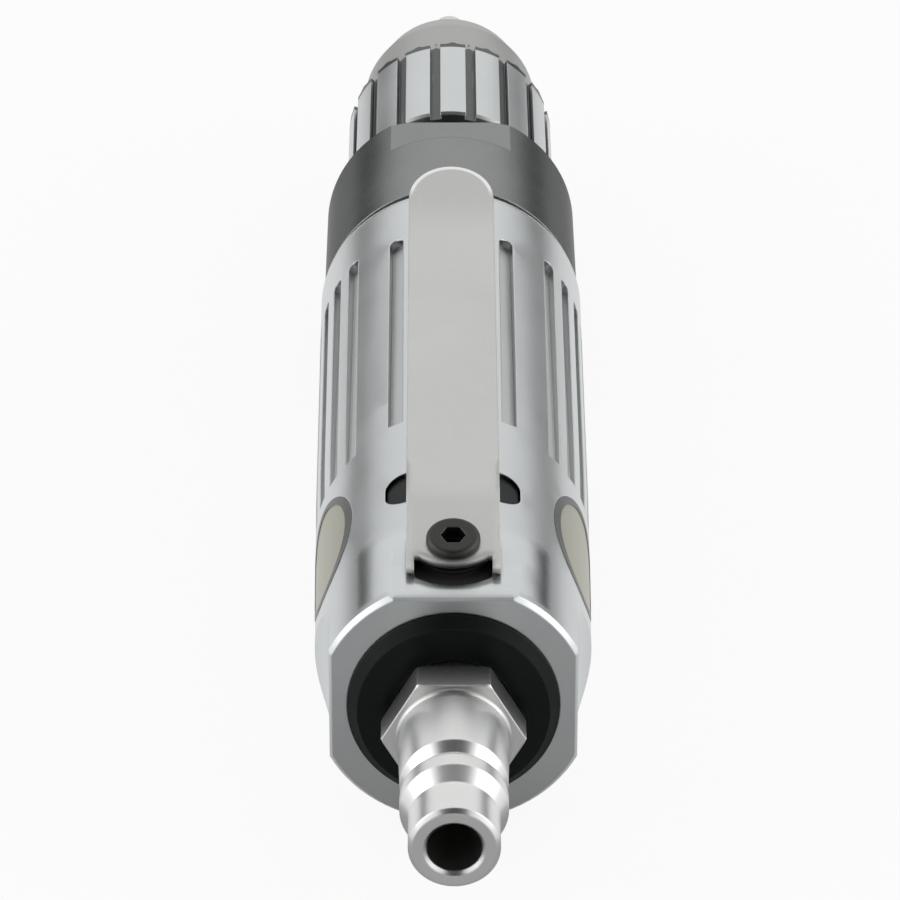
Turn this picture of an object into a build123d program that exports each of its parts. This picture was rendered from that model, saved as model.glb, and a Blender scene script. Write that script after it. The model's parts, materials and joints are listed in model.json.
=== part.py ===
from build123d import *
import math
import os

# Straight air drill, in millimetres and degrees.
# The tool's axis is Y. y = 0 is the open end of the air plug, +Y runs towards the chuck, +Z is the lever's side.

# Fits between pieces
seat_gap = 0.02
running_gap = 0.05
sliding_gap = 0.2
free_gap = 0.4

# Air plug
plug_nose_radius = 5.0
plug_nose_length = 5.6
plug_nose_chamfer = 0.45
plug_taper_length = 2.2
plug_barrel_radius = 5.95
plug_ridge_length = 2.1
plug_groove_length = 2.9
plug_groove_depth = 0.85
plug_barrel_length = 9.4
plug_barrel_root_radius = 6.25
plug_root_flare = 0.25
plug_hex_across_flats = 14.0
plug_hex_length = 4.2
plug_hex_chamfer = 0.25
plug_bore_radius = 3.0
plug_bore_chamfer = 0.4
plug_thread_radius = 6.58
plug_shank_length = 1.6
plug_thread_length = 9.0

# Rear cap, its seal, the silencer and the inlet bush
cap_rim_wall = 3.7
cap_thickness = 4.3
cap_bevel = 1.1
cap_proud = 1.5
cap_ring_section = 0.7
felt_thickness = 3.0
bushing_radius = 9.0
bushing_length = 13.5
strainer_wall = 0.4
strainer_length = 4.0
inlet_passage_radius = 3.4

# Housing
housing_radius = 16.72
housing_front_taper = 0.4
housing_rear_taper = 0.72
housing_middle_setback = 45.0
housing_rear_chamfer_depth = 0.5
housing_rear_chamfer_length = 0.6
housing_front_chamfer = 0.4
valve_block_length = 31.6
motor_wall = 3.52
underside_flat_depth = 0.2
side_flat_depth = 1.65
side_flat_length = 7.4
side_flat_runout_radius = 7.0
side_flat_chamfer = 0.35

# Flutes of the housing
flute_width = 1.85
flute_depth = 0.7
flute_length = 51.6
flute_front_setback = 9.6
top_flute_inset = 1.7
top_flute_angle = 24.5
side_flute_angle = 48.0
side_flute_pitch = 12.0
side_flute_count = 8

# Oval badges
badge_half_length = 10.2
badge_half_height = 6.3
badge_setback = 24.0
badge_angle = 70.0
badge_depth = 0.4
badge_proud = 0.05
badge_border = 1.1
badge_field_depth = 0.1

# Lever
lever_width = 10.6
lever_thickness = 0.8
lever_bend_setback = 17.3
lever_bend_rise = 4.22
lever_bend_radius = 16.0
lever_front_angle = 2.4
lever_tip_setback = 2.7
lever_tip_length = 8.5
tail_angle = 14.6
tail_flange_depth = 1.1
tail_screw_distance = 8.3
tail_web_reach = 2.4
tail_lobe_radius = 6.5
tail_lobe_reach = 3.7
tail_lobe_width = 8.0
ear_width = 0.9
ear_reach = 3.9
ear_radius = 0.7

# Flat for the lever's tail, screw and cushion
tail_flat_depth = 1.75
tail_flat_length = 7.5
tail_flat_chamfer = 0.3
tail_ramp_angle = 14.6
screw_head_radius = 3.05
screw_head_height = 0.9
screw_head_round = 0.6
screw_shank_radius = 1.9
screw_thread_radius = 1.5
screw_length = 6.0
screw_socket_across_flats = 2.5
screw_socket_depth = 1.7
cushion_boss_radius = 3.9
cushion_plate_thickness = 0.6
cushion_recess_radius = 6.0
cushion_recess_width = 8.6
cushion_recess_depth = 1.1
cushion_recess_setback = 0.35

# Throttle button and valve
valve_setback = 23.3
pocket_length = 15.5
pocket_width = 6.7
pocket_depth = 4.35
pocket_corner = 2.4
button_recess = 0.35
button_lift = 0.9
button_pad_length = 7.4
button_pad_width = 4.6
valve_bore_radius = 3.6
valve_bore_floor = -8.5
guide_length = 3.0
stem_radius = 1.2
seat_top_height = 4.6
seat_length = 2.0
seat_hole_radius = 1.75
ball_radius = 2.4
spring_wire_radius = 0.3
spring_turns = 4
motor_passage_radius = 1.6
motor_passage_height = 6.0

# Motor
end_plate_rear_length = 7.0
liner_length = 36.0
end_plate_front_length = 6.0
liner_wall = 2.6
liner_offset = 1.1
rotor_nip = 0.1
vane_count = 5
vane_thickness = 1.8
vane_depth = 5.2
air_port_radius = 1.2
air_port_setback = 2.6
liner_slot_width = 2.0
liner_slot_length = 12.0
locating_pin_radius = 0.9
locating_pin_setback = 1.6
rotor_end_play = 0.1

# Ball bearings
rear_bearing_bore_radius = 3.0
rear_bearing_outer_radius = 7.5
rear_bearing_width = 5.0
rear_bearing_ball_count = 7
front_bearing_bore_radius = 4.0
front_bearing_outer_radius = 8.0
front_bearing_width = 5.0
front_bearing_ball_count = 8
spindle_bearing_bore_radius = 6.0
spindle_bearing_width = 6.0
spindle_bearing_ball_count = 9
ball_share_of_section = 0.27
race_share_of_section = 0.17
bearing_lip = 1.0

# Planet gear: teeth and tooth form
gear_module = 0.5
sun_teeth = 12
planet_teeth = 15
ring_teeth = 42
planet_count = 3
pressure_angle = 25.0
tooth_backlash = 0.08
gear_face_width = 8.0
ring_gear_length = 12.0
planet_pin_radius = 1.5
planet_end_gap = 1.5
carrier_radius = 9.5
carrier_thickness = 4.0
carrier_end_gap = 0.4

# Collar and spindle
spigot_length = 6.0
spigot_wall = 2.7
collar_step = 0.37
collar_wall = 4.35
collar_length = 25.8
collar_relief_width = 1.4
collar_relief_depth = 0.8
collar_front_chamfer = 1.0
collar_flat_depth = 1.98
collar_flat_length = 8.8
bearing_shoulder = 1.0
bearing_spread = 10.5
spacer_wall = 1.4
snap_ring_thickness = 1.2
snap_ring_depth = 0.6
snap_ring_width = 2.4
snap_ring_opening = 8.0
spindle_shoulder_radius = 7.2
spindle_thread_radius = 4.76
spindle_thread_length = 15.0

# Chuck
chuck_gap = 3.6
chuck_hub_radius = 7.6
chuck_body_radius = 11.9
chuck_nose_length = 6.6
chuck_nose_fall = 1.4
chuck_bore_radius = 3.3
chuck_screw_radius = 1.6
chuck_screw_length = 8.0
chuck_screw_head_radius = 2.6
chuck_screw_head_height = 2.2
sleeve_rib_wall = 1.95
sleeve_rib_length = 23.6
sleeve_rear_bevel = 1.0
sleeve_front_bevel = 0.9
sleeve_front_bevel_length = 1.8
sleeve_cone_step = 1.2
sleeve_cone_fall = 2.5
sleeve_cone_length = 14.6
sleeve_cone_bend_fall = 0.8
sleeve_cone_bend_length = 8.8
sleeve_lip_length = 3.0
sleeve_lip_fall = 1.7
sleeve_wall = 1.1
rib_count = 18
rib_groove_width = 1.4
rib_groove_depth = 0.75
rib_turn = 1.65
scallop_radius = 1.35
scallop_setback = 0.9
scallop_floor = 0.05
nut_length = 4.0
nut_setback = 19.6
nut_thickness = 1.7

# Jaws, set to grip a 3 mm shank
jaw_angle = 9.0
jaw_radius = 2.2
jaw_length = 40.0
jaw_reach = 9.6
jaw_axis_at_tip = 1.7
jaw_tip_radius = 2.3
jaw_tip_length = 7.0
jaw_tip_shoulder = 3.7
jaw_count = 3
grip_radius = 1.5
jaw_half_gap = 0.45
jaw_travel_room = 10.0

# Sizes that follow from the ones above
housing_middle_radius = housing_radius - housing_front_taper
housing_rear_radius = housing_middle_radius - housing_rear_taper
cap_radius = housing_rear_radius - cap_rim_wall
side_flat_distance = housing_rear_radius - side_flat_depth
tail_flat_height = housing_rear_radius - tail_flat_depth
lever_bend_height = tail_flat_height + lever_bend_rise
pocket_floor_height = tail_flat_height - pocket_depth
motor_bore_radius = housing_radius - motor_wall
liner_bore_radius = motor_bore_radius - liner_wall
air_port_circle = motor_bore_radius - air_port_setback
locating_pin_circle = motor_bore_radius - locating_pin_setback
spigot_bore_radius = motor_bore_radius - spigot_wall
rotor_radius = liner_bore_radius - liner_offset - rotor_nip
collar_radius = housing_radius - collar_step
collar_flat_height = collar_radius - collar_flat_depth
spindle_bearing_outer_radius = collar_radius - collar_wall
sleeve_inner_radius = chuck_body_radius + running_gap
sleeve_radius = sleeve_inner_radius + sleeve_rib_wall
sleeve_cone_rear_radius = sleeve_radius - sleeve_cone_step
sleeve_cone_front_radius = sleeve_cone_rear_radius - sleeve_cone_fall
sleeve_lip_radius = sleeve_cone_front_radius - sleeve_lip_fall
chuck_nose_rear_radius = sleeve_lip_radius - sleeve_wall
chuck_nose_front_radius = chuck_nose_rear_radius - chuck_nose_fall
plug_hex_corner = plug_hex_across_flats / 2 / math.cos(math.radians(30))

# Stations along the axis
y_hex = plug_nose_length + plug_taper_length + plug_ridge_length + plug_groove_length + plug_barrel_length
y_shank = y_hex + plug_hex_length
y_cap = y_shank + plug_shank_length
y_rear = y_cap + cap_proud
y_taper = y_rear + housing_rear_chamfer_length
y_taper_middle = y_rear + housing_middle_setback
y_cap_front = y_cap + cap_thickness
y_felt_front = y_cap_front + felt_thickness
y_bushing_front = y_cap_front + bushing_length
y_valve = y_rear + valve_setback
y_shoulder = y_rear + valve_block_length
y_liner = y_shoulder + end_plate_rear_length
y_liner_front = y_liner + liner_length
y_gear = y_liner_front + end_plate_front_length
y_gear_front = y_gear + ring_gear_length
y_front = y_gear_front + spigot_length
y_collar_front = y_front + collar_length
y_bearing_a = y_front + bearing_shoulder
y_bearing_b = y_bearing_a + spindle_bearing_width + bearing_spread
y_snap = y_bearing_b + spindle_bearing_width
y_chuck = y_collar_front + chuck_gap
y_rib_front = y_chuck + sleeve_rib_length
y_cone = y_rib_front + sleeve_front_bevel_length
y_cone_front = y_cone + sleeve_cone_length
y_lip = y_cone_front + sleeve_lip_length
y_nose = y_lip + chuck_nose_length
y_nut = y_chuck + nut_setback
y_jaw_tip = y_nose + jaw_reach

# Places of the lever's bend, screw and pivot in the side view
y_bend = y_rear + lever_bend_setback
y_screw = y_bend - tail_screw_distance * math.cos(math.radians(tail_angle))
z_screw = lever_bend_height - tail_screw_distance * math.sin(math.radians(tail_angle))
tail = Plane(
    origin=(0, y_screw, z_screw),
    x_dir=(1, 0, 0),
    z_dir=(0, -math.sin(math.radians(tail_angle)), math.cos(math.radians(tail_angle))),
)
y_lever_tip = y_front - lever_tip_setback
ear_drop = tail_flange_depth - ear_radius


def turned(*points):
    """Solid turned about the tool's axis from (radius, y) points."""
    return revolve(make_face(Polyline(*points, close=True)), Axis.Y)


def rod(radius, start, end):
    return turned((0, start), (radius, start), (radius, end), (0, end))


def ring(inner, outer, start, end):
    return turned((inner, start), (outer, start), (outer, end), (inner, end))


def across(y):
    """Plane square to the axis at y, facing +Y."""
    return Plane(origin=(0, y, 0), x_dir=(1, 0, 0), z_dir=(0, 1, 0))


def prism(sketch, start, end):
    """Sketch in the plane square to the axis, drawn out from start to end."""
    return extrude(across(start) * sketch, end - start)


def upright(radius, y, bottom, top):
    """Upright cylinder on the tool's centre plane."""
    return Pos(0, y, (bottom + top) / 2) * Cylinder(radius, top - bottom)


def spun(shape, angle):
    """Shape turned about the tool's axis."""
    return shape.rotate(Axis.Y, angle)


def grouped(shapes):
    """Separate solids kept in one node."""
    return Compound(children=[solid for shape in shapes for solid in shape.solids()])


def housing_radius_at(y):
    """Radius of the housing's outside: a taper that eases off towards the front."""
    if y < y_taper_middle:
        share = (y - y_taper) / (y_taper_middle - y_taper)
        return housing_rear_radius + share * (housing_middle_radius - housing_rear_radius)
    share = (y - y_taper_middle) / (y_front - y_taper_middle)
    return housing_middle_radius + share * (housing_radius - housing_middle_radius)


def lever_top(y):
    """Height of the lever's upper face in front of the bend."""
    return lever_bend_height + (y - y_bend) * math.tan(math.radians(lever_front_angle))


# Air inlet

def make_air_plug():
    ridge = plug_nose_length + plug_taper_length
    groove = ridge + plug_ridge_length
    groove_end = groove + plug_groove_length
    groove_middle = (groove + groove_end) / 2
    thread_end = y_cap + plug_thread_length
    body = turned(
        (plug_bore_radius + plug_bore_chamfer, 0),
        (plug_nose_radius - plug_nose_chamfer, 0),
        (plug_nose_radius, plug_nose_chamfer),
        (plug_nose_radius, plug_nose_length),
        (plug_barrel_radius, ridge),
        (plug_barrel_radius, groove),
        (plug_barrel_radius - plug_groove_depth, groove_middle),
        (plug_barrel_radius, groove_end),
        (plug_barrel_root_radius, y_hex - plug_root_flare),
        (plug_barrel_root_radius + plug_root_flare, y_hex),
        (plug_thread_radius, y_hex),
        (plug_thread_radius, thread_end),
        (plug_bore_radius, thread_end),
        (plug_bore_radius, plug_bore_chamfer),
    )
    corner = plug_hex_corner
    hexagon = prism(RegularPolygon(corner, 6), y_hex, y_shank)
    dome = turned(
        (0, y_hex),
        (corner - plug_hex_chamfer, y_hex),
        (corner, y_hex + plug_hex_chamfer),
        (corner, y_shank - plug_hex_chamfer),
        (corner - plug_hex_chamfer, y_shank),
        (0, y_shank),
    )
    hexagon = (hexagon & dome) - rod(plug_bore_radius, y_hex, y_shank)
    return body + hexagon


def make_rear_cap():
    hole = plug_thread_radius + sliding_gap
    cap = turned(
        (hole, y_cap),
        (cap_radius - cap_bevel, y_cap),
        (cap_radius, y_cap + cap_bevel),
        (cap_radius, y_cap_front),
        (hole, y_cap_front),
    )
    return cap - cap_ring_groove()


def cap_ring_middle():
    """Middle of the seal along the axis: in the part of the cap that lies inside the housing."""
    return (y_rear + y_cap_front) / 2


def cap_ring_groove():
    half = cap_ring_section + seat_gap
    return ring(cap_radius - 2 * half, cap_radius + half, cap_ring_middle() - half, cap_ring_middle() + half)


def make_cap_ring():
    middle_radius = cap_radius - cap_ring_section
    return revolve(Pos(middle_radius, cap_ring_middle()) * Circle(cap_ring_section), Axis.Y)


def make_silencer_felt():
    return ring(bushing_radius + seat_gap, cap_radius, y_cap_front, y_felt_front)


def make_inlet_bushing():
    thread_end = y_cap + plug_thread_length
    shoulder_radius = inlet_passage_radius + strainer_wall + seat_gap
    return turned(
        (plug_thread_radius + seat_gap, y_cap_front),
        (bushing_radius, y_cap_front),
        (bushing_radius, y_bushing_front),
        (shoulder_radius, y_bushing_front),
        (shoulder_radius, thread_end + seat_gap),
        (plug_thread_radius + seat_gap, thread_end + seat_gap),
    )


def make_inlet_strainer():
    start = y_bushing_front - strainer_length
    outer = inlet_passage_radius + strainer_wall
    cup = ring(inlet_passage_radius, outer, start, y_bushing_front)
    return cup + rod(outer, y_bushing_front - strainer_wall, y_bushing_front)


# Housing

def housing_outline():
    y_chamfer = y_front - housing_front_chamfer
    return turned(
        (0, y_rear),
        (housing_rear_radius - housing_rear_chamfer_depth, y_rear),
        (housing_rear_radius, y_taper),
        (housing_middle_radius, y_taper_middle),
        (housing_radius_at(y_chamfer), y_chamfer),
        (housing_radius_at(y_chamfer) - housing_front_chamfer, y_front),
        (0, y_front),
    )


def flute(angle, inset):
    """Flat-bottomed slot along the housing, round at its front end and shorter by the inset at both ends."""
    front = y_front - flute_front_setback - inset - flute_width / 2
    rear = y_front - flute_front_setback - flute_length + inset
    floor = housing_radius_at(rear) - flute_depth
    top = housing_radius + flute_depth
    slot = Pos(0, (rear + front) / 2) * Rectangle(flute_width, front - rear)
    slot += Pos(0, front) * Circle(flute_width / 2)
    return spun(extrude(Plane.XY.offset(floor) * slot, top - floor), angle)


def flutes():
    """One flute on each side of the lever, and a row of longer ones down each side of the housing."""
    cutters = []
    for side in (1, -1):
        cutters.append(flute(side * top_flute_angle, top_flute_inset))
        for number in range(side_flute_count):
            cutters.append(flute(side * (side_flute_angle + number * side_flute_pitch), 0))
    return cutters


def underside_flat():
    """Narrow flat along the underside that stops the drill from rolling. It follows the housing's front taper."""
    depth = housing_radius_at(y_front) - underside_flat_depth
    rise = (housing_radius_at(y_front) - housing_middle_radius) / (y_front - y_taper_middle)
    below = Polyline(
        (y_front, -depth),
        (y_shoulder, -depth + rise * (y_front - y_shoulder)),
        (y_shoulder, -2 * housing_radius),
        (y_front, -2 * housing_radius),
        close=True,
    )
    return extrude(Plane.YZ * make_face(below), housing_radius, both=True)


def side_flat(side):
    """Spanner flat at the rear, with the run-out of the cutter at its front end."""
    reach = 2 * housing_radius
    flat = Pos(side_flat_distance + reach / 2, y_rear + side_flat_length / 2) * Rectangle(reach, side_flat_length)
    runout = Pos(side_flat_distance + side_flat_runout_radius, y_rear + side_flat_length)
    flat += runout * Circle(side_flat_runout_radius)
    corner = Polyline(
        (side_flat_distance - side_flat_chamfer, y_rear),
        (side_flat_distance, y_rear),
        (side_flat_distance, y_rear + side_flat_chamfer),
        close=True,
    )
    flat += make_face(corner)
    cutter = extrude(flat, reach, both=True)
    return cutter if side > 0 else cutter.mirror(Plane.YZ)


def tail_cuts():
    """Cuts for the lever's tail: a flat that ends in a ramp, the recess of the cushion and the screw's holes."""
    ramp = y_rear + tail_flat_length
    ramp_length = (housing_radius - tail_flat_height) / math.tan(math.radians(tail_ramp_angle))
    side = Polyline(
        (y_rear, tail_flat_height - tail_flat_chamfer),
        (y_rear + tail_flat_chamfer, tail_flat_height),
        (ramp, tail_flat_height),
        (ramp + ramp_length, housing_radius),
        (y_rear, housing_radius),
        close=True,
    )
    flat = extrude(Plane.YZ * make_face(side), housing_radius, both=True)
    recess = cushion_outline(0, cushion_recess_depth + tail_flat_depth)
    thread = extrude(tail * Circle(screw_thread_radius + seat_gap), -screw_length)
    shank = extrude(tail * Circle(screw_shank_radius + seat_gap), screw_shank_end())
    return [flat, recess, thread, shank]


def cushion_floor():
    """Height of the floor of the cushion's recess."""
    return tail_flat_height - cushion_recess_depth


def cushion_outline(gap, height):
    """Round piece with two straight sides that stands on the floor of the cushion's recess."""
    width = cushion_recess_width - 2 * gap
    outline = Circle(cushion_recess_radius - gap) & Rectangle(width, 2 * cushion_recess_radius)
    return extrude(Plane((0, y_screw - cushion_recess_setback, cushion_floor())) * outline, height)


def screw_shank_end():
    """Lower end of the screw's shank along the screw, on the floor of the recess."""
    return (cushion_floor() - z_screw) / math.cos(math.radians(tail_angle))


def pocket_outline(gap):
    """Outline of the button's pocket, drawn in by the gap: a wide slot with round corners."""
    return RectangleRounded(pocket_length - 2 * gap, pocket_width - 2 * gap, pocket_corner - gap)


def valve_bores():
    pocket = extrude(
        Plane((0, y_valve, pocket_floor_height)) * pocket_outline(0),
        housing_radius - pocket_floor_height,
    )
    bore = upright(valve_bore_radius, y_valve, valve_bore_floor, pocket_floor_height)
    inlet = rod(inlet_passage_radius, y_felt_front, y_valve)
    to_motor = Pos(0, 0, motor_passage_height) * rod(motor_passage_radius, y_valve, y_shoulder)
    return [pocket, bore, inlet, to_motor]


def make_housing():
    cuts = [
        rod(cap_radius + seat_gap, y_rear, y_felt_front),
        rod(bushing_radius + seat_gap, y_felt_front, y_bushing_front),
        rod(motor_bore_radius, y_shoulder, y_front),
        underside_flat(),
        side_flat(1),
        side_flat(-1),
    ]
    cuts += tail_cuts() + valve_bores()
    cuts += flutes()
    cuts += [badge_oval(side, 0) & badge_skin(badge_depth, free_gap) for side in (1, -1)]
    return housing_outline() - cuts


def badge_skin(depth, proud):
    """Shell along the housing's taper, from a depth under its outside to a height over it."""
    return turned(
        (housing_rear_radius - depth, y_taper),
        (housing_rear_radius + proud, y_taper),
        (housing_middle_radius + proud, y_taper_middle),
        (housing_middle_radius - depth, y_taper_middle),
    )


def badge_oval(side, inset):
    """Oval prism out through one side of the housing."""
    oval = Ellipse(badge_half_height - inset, badge_half_length - inset)
    return spun(extrude(Pos(0, y_rear + badge_setback) * oval, 2 * housing_radius), side * badge_angle)


def make_badge(side):
    """Oval plate let into the housing, with a border that stands over its field."""
    plate = badge_oval(side, seat_gap) & badge_skin(badge_depth - seat_gap, badge_proud)
    field = badge_oval(side, badge_border) & badge_skin(badge_field_depth - badge_proud, free_gap)
    return plate - field


# Lever and throttle valve

def lever_strip():
    """The folded strip without its flanges: side view first, then the plan of its two ends."""
    slope = math.radians(lever_front_angle)
    fall = math.radians(tail_angle)
    rear_reach = tail_screw_distance + tail_lobe_reach
    rear = (y_bend - rear_reach * math.cos(fall), lever_bend_height - rear_reach * math.sin(fall))
    front = (y_lever_tip, lever_top(y_lever_tip))
    bend_under = (y_bend + lever_thickness * math.tan((fall - slope) / 2), lever_bend_height - lever_thickness)
    side = Polyline(
        rear,
        (y_bend, lever_bend_height),
        front,
        (front[0] + lever_thickness * math.sin(slope), front[1] - lever_thickness * math.cos(slope)),
        bend_under,
        (rear[0] + lever_thickness * math.sin(fall), rear[1] - lever_thickness * math.cos(fall)),
        close=True,
    )
    face = make_face(side)
    corners = [corner for corner in face.vertices() if abs(corner.X - y_bend) < lever_thickness]
    face = fillet(corners, lever_bend_radius)
    strip = extrude(Plane.YZ * face, lever_width / 2, both=True)
    length = y_lever_tip - lever_tip_length - rear[0]
    plan = Pos(0, rear[0] + length / 2) * Rectangle(lever_width, length)
    plan += Pos(0, y_lever_tip - lever_tip_length) * Ellipse(lever_width / 2, lever_tip_length)
    return strip & extrude(plan, 2 * lever_bend_height)


def tail_trim():
    """What is cut from the strip behind the screw, leaving a round lobe."""
    depth = tail_lobe_radius + lever_thickness
    behind = Pos(0, -tail_web_reach - depth / 2) * Rectangle(2 * lever_width, depth)
    lobe = Pos(0, tail_lobe_radius - tail_lobe_reach) * Circle(tail_lobe_radius)
    lobe &= Rectangle(tail_lobe_width, 4 * tail_lobe_radius)
    return extrude(tail * (behind - lobe), 2 * lever_thickness, both=True)


def tail_flange(side):
    """Folded edge of the tail: its rear end is a round ear, on whose underside the lever rocks."""
    front = tail_screw_distance
    outline = Pos((front - ear_reach) / 2, -tail_flange_depth / 2) * Rectangle(front + ear_reach, tail_flange_depth)
    outline += Pos(-ear_reach, -ear_drop) * Circle(ear_radius)
    outline &= Pos(0, -front) * Rectangle(4 * front, 2 * front)
    plane = Plane(tail.origin, x_dir=tail.y_dir, z_dir=tail.x_dir)
    start = lever_width / 2 - ear_width if side > 0 else -lever_width / 2
    return extrude(plane.offset(start) * outline, ear_width)


def make_lever():
    hole = extrude(tail * Circle(screw_shank_radius + sliding_gap), 2 * lever_thickness, both=True)
    body = lever_strip() - tail_trim() + tail_flange(1) + tail_flange(-1)
    return body - hole


def make_lever_screw():
    top = seat_gap + screw_head_height
    head = extrude(tail.offset(seat_gap) * Circle(screw_head_radius), screw_head_height)
    rim = head.edges().filter_by(GeomType.CIRCLE).sort_by(Axis.Z)[-1]
    head = fillet(rim, screw_head_round)
    shank = extrude(tail.offset(seat_gap) * Circle(screw_shank_radius), screw_shank_end() - seat_gap)
    thread = extrude(tail * Circle(screw_thread_radius), -screw_length + seat_gap)
    outline = RegularPolygon(screw_socket_across_flats / 2, 6, major_radius=False)
    socket = extrude(tail.offset(top) * outline, -screw_socket_depth)
    return head + shank + thread - socket


def make_lever_cushion():
    """Rubber plate in the recess, with a boss under the lever's tail and a hole for the screw."""
    plate = cushion_outline(sliding_gap, cushion_plate_thickness)
    boss_top = -lever_thickness - free_gap
    boss = extrude(tail.offset(boss_top) * Circle(cushion_boss_radius), 2 * screw_shank_end())
    boss &= cushion_outline(sliding_gap, housing_radius)
    hole = extrude(tail * Circle(screw_shank_radius + sliding_gap), 2 * screw_shank_end())
    return plate + boss - hole


def make_throttle_button():
    bottom = pocket_floor_height + button_lift
    pad = SlotOverall(button_pad_length, button_pad_width)
    pad_top = lever_top(y_valve - button_pad_width / 2) - lever_thickness - running_gap
    crown = rod(housing_radius_at(y_valve) - button_recess, y_valve - pocket_width, y_valve + pocket_width)
    button = extrude(Plane((0, y_valve, bottom)) * pocket_outline(sliding_gap), housing_radius - bottom) & crown
    return button + extrude(Plane((0, y_valve, bottom)) * pad, pad_top - bottom)


def seat_bottom():
    return seat_top_height - seat_length


def ball_height():
    """Middle of the ball, closing the seat's hole from below."""
    drop = math.sqrt(ball_radius ** 2 - seat_hole_radius ** 2)
    return seat_bottom() - drop - seat_gap


def make_valve_stem():
    return upright(stem_radius, y_valve, ball_height() + ball_radius, pocket_floor_height + button_lift)


def make_valve_ball():
    return Pos(0, y_valve, ball_height()) * Sphere(ball_radius)


def make_stem_guide():
    bottom = pocket_floor_height - guide_length
    guide = upright(valve_bore_radius - seat_gap, y_valve, bottom, pocket_floor_height)
    return guide - upright(stem_radius + running_gap, y_valve, bottom, pocket_floor_height)


def make_valve_seat():
    seat = upright(valve_bore_radius - seat_gap, y_valve, seat_bottom(), seat_top_height)
    return seat - upright(seat_hole_radius, y_valve, seat_bottom(), seat_top_height)


def make_valve_spring():
    """Compression spring under the ball: closed coils one above the other, joined into one sleeve of beads."""
    top = ball_height() - ball_radius - seat_gap
    coil_radius = seat_hole_radius
    pitch = (top - valve_bore_floor) / spring_turns
    sleeve = upright(coil_radius + spring_wire_radius / 2, y_valve, valve_bore_floor, top)
    sleeve -= upright(coil_radius - spring_wire_radius / 2, y_valve, valve_bore_floor, top)
    for turn in range(spring_turns):
        bead = Pos(0, y_valve, valve_bore_floor + (turn + 0.5) * pitch) * Torus(coil_radius, spring_wire_radius)
        sleeve += bead
    return sleeve


# Bearings

def make_bearing(bore, outer, width, count, start):
    """Outer ring, balls and inner ring of a ball bearing that starts at y = start."""
    middle_radius = (bore + outer) / 2
    section = outer - bore
    ball = ball_share_of_section * section
    ring_edge = race_share_of_section * section
    middle = start + width / 2
    race = revolve(Pos(middle_radius, middle) * Circle(ball + running_gap), Axis.Y)
    outer_ring = ring(middle_radius + ring_edge, outer, start, start + width) - race
    inner_ring = ring(bore, middle_radius - ring_edge, start, start + width) - race
    first = Pos(middle_radius, middle, 0) * Sphere(ball)
    balls = grouped([spun(first, number * 360 / count) for number in range(count)])
    return outer_ring, balls, inner_ring


# Motor

def air_port(angle, start, end):
    return spun(Pos(0, 0, air_port_circle) * rod(air_port_radius, start, end), angle)


def pin_hole(start, end):
    return Pos(0, 0, -locating_pin_circle) * rod(locating_pin_radius + seat_gap, start, end)


def make_rear_end_plate():
    plate = rod(motor_bore_radius - seat_gap, y_shoulder, y_liner)
    plate -= rod(rear_bearing_outer_radius + seat_gap, y_shoulder, y_shoulder + rear_bearing_width)
    plate -= rod(rear_bearing_bore_radius + bearing_lip, y_shoulder, y_liner)
    ports = [air_port(angle, y_shoulder, y_liner) for angle in (-30, 0, 30)]
    return plate - ports - pin_hole(y_shoulder, y_liner)


def make_cylinder_liner():
    liner = rod(motor_bore_radius - seat_gap, y_liner, y_liner_front)
    liner -= Pos(0, 0, liner_offset) * rod(liner_bore_radius, y_liner, y_liner_front)
    middle = (y_liner + y_liner_front) / 2
    slot = Pos(motor_bore_radius, middle, 0) * Box(motor_bore_radius, liner_slot_length, liner_slot_width)
    slots = [spun(slot, angle) for angle in (15, 35)]
    return liner - slots - pin_hole(y_liner, y_liner_front)


def make_front_end_plate():
    plate = rod(motor_bore_radius - seat_gap, y_liner_front, y_gear)
    plate -= rod(front_bearing_outer_radius + seat_gap, y_gear - front_bearing_width, y_gear)
    plate -= rod(front_bearing_bore_radius + bearing_lip / 2, y_liner_front, y_gear)
    return plate - pin_hole(y_liner_front, y_gear)


def make_locating_pin():
    start = y_shoulder + end_plate_rear_length / 3
    end = y_gear - end_plate_front_length / 3
    return Pos(0, 0, -locating_pin_circle) * rod(locating_pin_radius, start, end)


def rotor_span():
    return y_liner + rotor_end_play, y_liner_front - rotor_end_play


def vane_box(thickness, length, depth, outer):
    """Upright plate whose outer edge lies at the given radius, with its length along the axis."""
    middle = (y_liner + y_liner_front) / 2
    return Pos(0, middle, outer - depth / 2) * Box(thickness, length, depth)


def make_rotor():
    start, end = rotor_span()
    rear_seat = y_shoulder + seat_gap
    body = rod(rotor_radius, start, end)
    body += rod(rear_bearing_bore_radius - seat_gap, rear_seat, start)
    body += rod(front_bearing_bore_radius - seat_gap, end, y_gear)
    teeth = gear_points(sun_teeth, tooth_backlash, 0)
    body += prism(make_face(Polyline(*teeth, close=True)), y_gear, y_gear + planet_end_gap + gear_face_width)
    slot_length = end - start
    slot_depth = vane_depth + 2 * sliding_gap
    slot = vane_box(vane_thickness + 2 * running_gap, slot_length, 2 * slot_depth, rotor_radius + slot_depth)
    return body - [spun(slot, number * 360 / vane_count) for number in range(vane_count)]


def make_rotor_vanes():
    start, end = rotor_span()
    vane = vane_box(vane_thickness, end - start, vane_depth, rotor_radius - sliding_gap / 2)
    return grouped([spun(vane, number * 360 / vane_count) for number in range(vane_count)])


# Planet gear

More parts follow.
